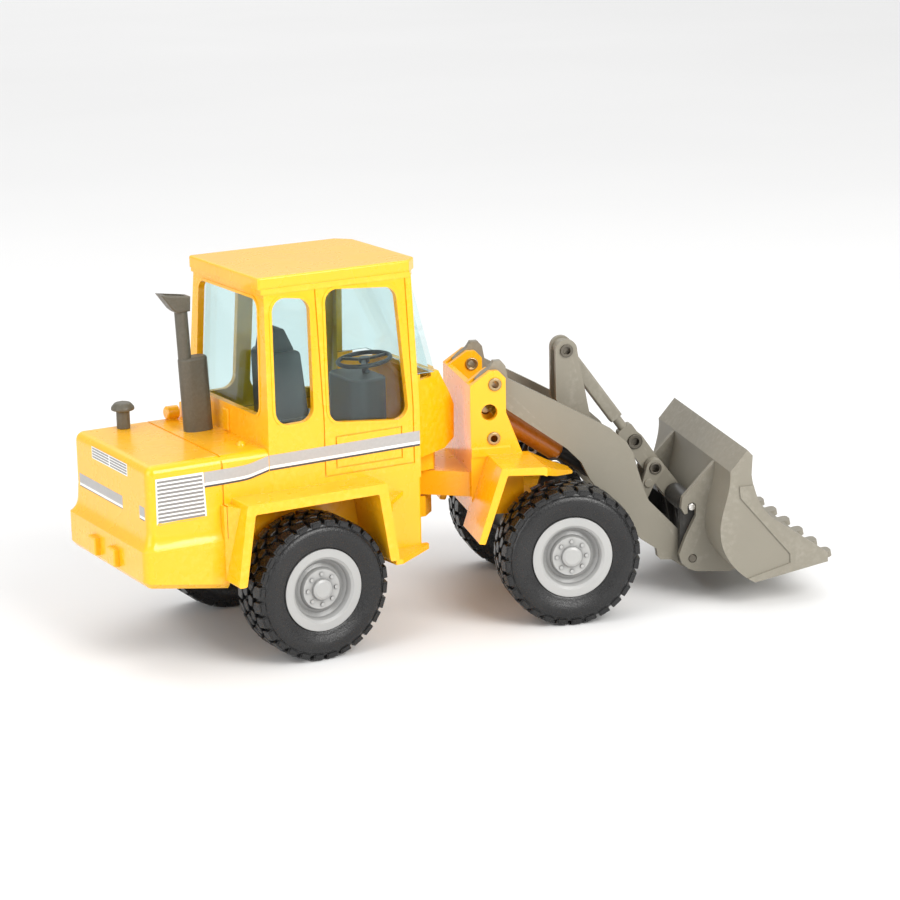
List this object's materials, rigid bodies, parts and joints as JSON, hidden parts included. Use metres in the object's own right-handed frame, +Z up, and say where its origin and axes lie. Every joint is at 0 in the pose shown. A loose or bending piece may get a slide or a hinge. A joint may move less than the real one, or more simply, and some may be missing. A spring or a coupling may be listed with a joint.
{
  "type": "toy front loader",
  "caption": "Die-cast toy wheel loader with articulated steering, enclosed cab, lifting arms, tilting bucket and rolling rubber tyres.",
  "frame": {"origin": "centre of the bottom of the whole loader's box, on the ground between the wheels", "axes": "+X forward along the rear frame, +Y to the driver's left, +Z up; the front frame is steered 17 degrees to the right at rest"},
  "size_m": [0.1542, 0.0738, 0.0746],
  "materials": {
    "yellow_paint": "gloss enamel",
    "grey_paint": "satin enamel",
    "black_paint": "satin",
    "dark_plastic": "moulded",
    "grey_plastic": "moulded",
    "tinted_glass": "blue tinted clear moulding",
    "tyre_rubber": "moulded rubber",
    "rim_silver": "silver enamel",
    "bright_steel": "bright",
    "dark_rivet": "blackened"
  },
  "bodies": {
    "rear_frame": {"rear_body": "yellow_paint", "rear_base_plate": "black_paint", "rear_screws": "bright_steel", "articulation_pin": "bright_steel", "axle_rock_pin": "bright_steel", "cab_shell": "yellow_paint", "cab_windows": "tinted_glass", "cab_floor": "dark_plastic", "driver_seat": "dark_plastic", "dash_console": "dark_plastic", "steering_wheel": "dark_plastic", "exhaust_stack": "grey_plastic", "air_precleaner": "grey_plastic"},
    "rear_axle_beam": {"rear_axle_housing": "black_paint"},
    "rear_wheels": {"rear_axle_shaft": "bright_steel", "rear_rim_left": "rim_silver", "rear_rim_right": "rim_silver", "rear_tyre_left": "tyre_rubber", "rear_tyre_right": "tyre_rubber"},
    "front_frame": {"front_frame": "yellow_paint", "front_axle_bracket": "black_paint", "front_screws": "bright_steel", "bracket_eyelets": "bright_steel", "arm_pivot_rivets": "dark_rivet", "tower_rivets": "dark_rivet", "lift_cylinder_pin": "bright_steel"},
    "front_wheels": {"front_axle_shaft": "bright_steel", "front_rim_left": "rim_silver", "front_rim_right": "rim_silver", "front_tyre_left": "tyre_rubber", "front_tyre_right": "tyre_rubber"},
    "lift_arm": {"lift_arm": "grey_paint", "lift_rod_pins": "bright_steel", "tilt_barrel_pin": "dark_rivet", "lever_pivot_pin": "bright_steel"},
    "lift_barrels": {"lift_barrel_left": "yellow_paint", "lift_barrel_right": "yellow_paint"},
    "lift_rods": {"lift_rod_left": "dark_plastic", "lift_rod_right": "dark_plastic"},
    "bucket": {"quick_hitch": "black_paint", "hook_pins": "bright_steel", "hitch_pivot_pins": "dark_rivet", "bucket": "grey_paint"},
    "guide_levers": {"guide_levers": "grey_paint", "link_rivet": "dark_rivet"},
    "tilt_link": {"tilt_link": "grey_paint"},
    "tilt_rod": {"tilt_rod": "grey_paint", "tilt_rod_rivet": "dark_rivet"},
    "tilt_barrel": {"tilt_barrel": "grey_paint"}
  },
  "joints": [
    {"name": "steer", "type": "hinge", "parent": "rear_frame", "child": "front_frame", "pos_m": [-0.01213, 0.01133, 0.027], "axis": [0, 0, 1], "range_deg": [-14, 48]},
    {"name": "axle_rock", "type": "hinge", "parent": "rear_frame", "child": "rear_axle_beam", "pos_m": [-0.0416, 0.01133, 0.0169], "axis": [1, 0, 0], "range_deg": [-5, 5]},
    {"name": "rear_wheels_spin", "type": "hinge", "parent": "rear_axle_beam", "child": "rear_wheels", "pos_m": [-0.0416, 0.01133, 0.0142], "axis": [0, 1, 0], "continuous": true},
    {"name": "front_wheels_spin", "type": "hinge", "parent": "front_frame", "child": "front_wheels", "pos_m": [0.01743, 0.00229, 0.0142], "axis": [0.2924, 0.9563, 0], "continuous": true},
    {"name": "lift", "type": "hinge", "parent": "front_frame", "child": "lift_arm", "pos_m": [0.00565, 0.00589, 0.0477], "axis": [-0.2924, -0.9563, 0], "range_deg": [-5, 60]},
    {"name": "lift_barrels_swing", "type": "hinge", "parent": "front_frame", "child": "lift_barrels", "pos_m": [0.00451, 0.00624, 0.042], "axis": [-0.2924, -0.9563, 0], "range_deg": [-5.47, 60.18]},
    {"name": "lift_rods_slide", "type": "slide", "parent": "lift_barrels", "child": "lift_rods", "axis": [0.7865, -0.2405, -0.5689], "range_m": [-0.00059, 0.00594]},
    {"name": "bucket_tilt", "type": "hinge", "parent": "lift_arm", "child": "bucket", "pos_m": [0.04467, -0.00604, 0.0085], "axis": [0.2924, 0.9563, 0], "range_deg": [-10, 30]},
    {"name": "levers_swing", "type": "hinge", "parent": "lift_arm", "child": "guide_levers", "pos_m": [0.03692, -0.00367, 0.0182], "axis": [0.2924, 0.9563, 0], "range_deg": [-12.38, 35.14]},
    {"name": "link_swing", "type": "hinge", "parent": "guide_levers", "child": "tilt_link", "pos_m": [0.04027, -0.0047, 0.0253], "axis": [0.2924, 0.9563, 0], "range_deg": [-56.08, 19.49]},
    {"name": "tilt_rod_swing", "type": "hinge", "parent": "guide_levers", "child": "tilt_rod", "pos_m": [0.04027, -0.0047, 0.0253], "axis": [0.2924, 0.9563, 0], "range_deg": [-37.28, 13.09]},
    {"name": "tilt_barrel_slide", "type": "slide", "parent": "tilt_rod", "child": "tilt_barrel", "axis": [-0.557, 0.1703, 0.8129], "range_m": [-0.00156, 0.00448]}
  ],
  "couplings": [
    {"joint": "lift_barrels_swing", "follows": "lift", "ratio": 0.99465},
    {"joint": "lift_rods_slide", "follows": "lift", "m_per_rad": 0.0055725},
    {"joint": "levers_swing", "follows": "bucket_tilt", "ratio": 1.138},
    {"joint": "link_swing", "follows": "bucket_tilt", "ratio": -1.8293},
    {"joint": "tilt_rod_swing", "follows": "bucket_tilt", "ratio": -1.2094},
    {"joint": "tilt_barrel_slide", "follows": "bucket_tilt", "m_per_rad": 0.0083606}
  ]
}
